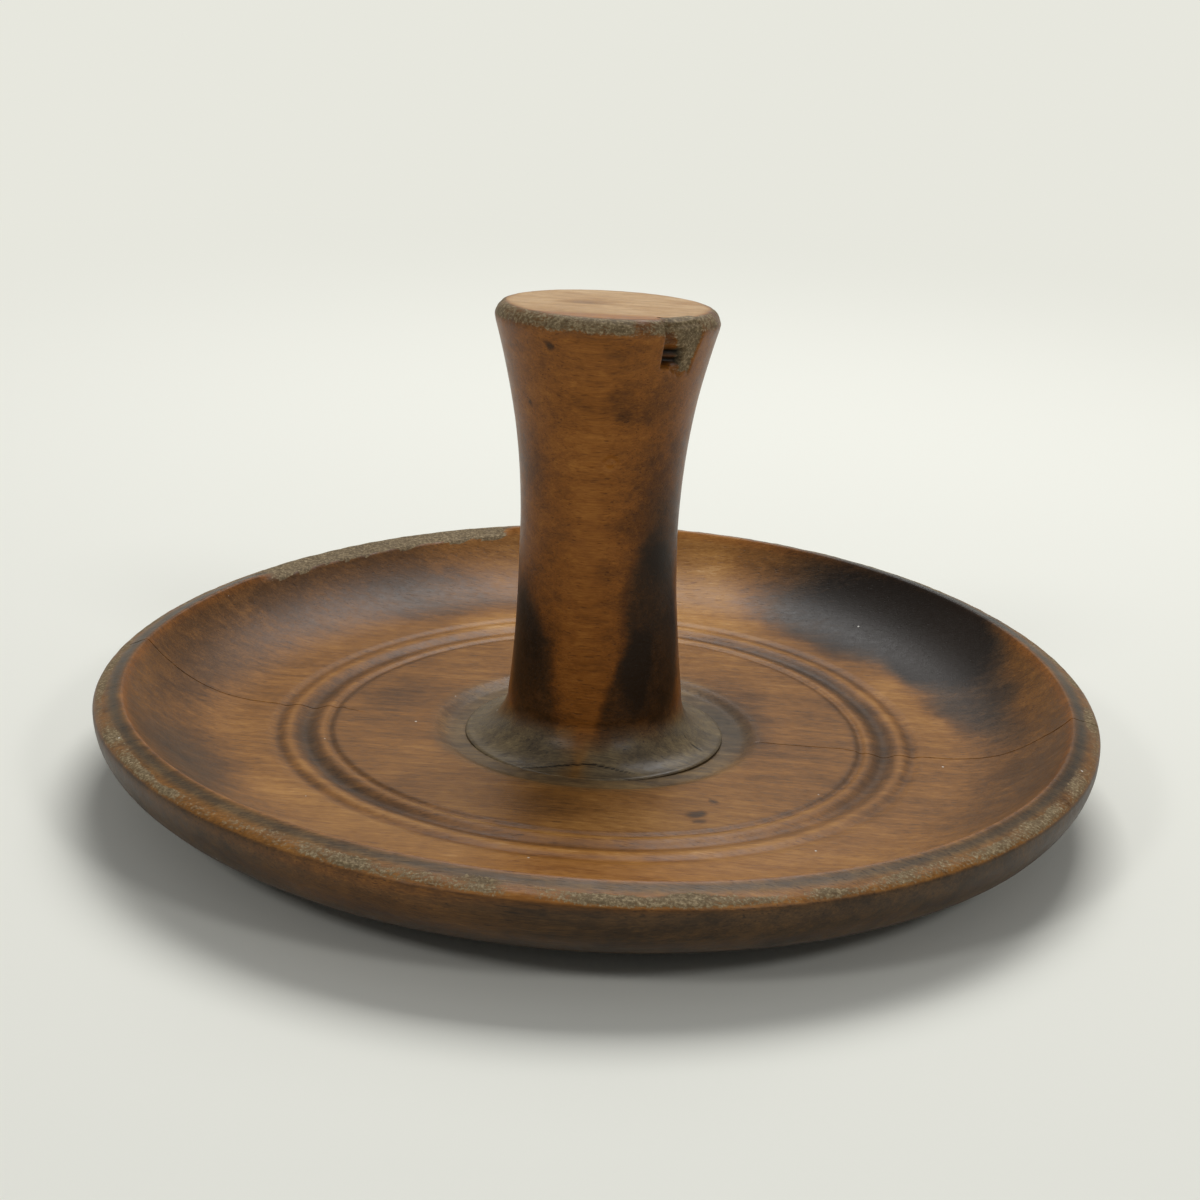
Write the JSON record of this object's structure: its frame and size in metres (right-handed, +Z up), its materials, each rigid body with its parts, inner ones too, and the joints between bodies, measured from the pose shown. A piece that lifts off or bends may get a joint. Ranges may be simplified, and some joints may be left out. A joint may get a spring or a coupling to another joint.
{
  "type": "butter worker",
  "caption": "Turned wooden butter worker: a shallow round dish with a rounded lip, ring grooves and a waisted post handle in its middle.",
  "frame": {"origin": "middle of the flat underside, on the turning axis", "axes": "+Z up along the turning axis, out of the handle's top; -Y to the side where the handle's top stands highest; +X to the right of that side"},
  "size_m": [0.21, 0.21, 0.1035],
  "materials": {
    "dish_wood": "old oiled hardwood, worn satin",
    "handle_wood": "old oiled hardwood, hand-polished"
  },
  "bodies": {
    "root": {"dish": "dish_wood", "handle": "handle_wood"}
  },
  "joints": []
}
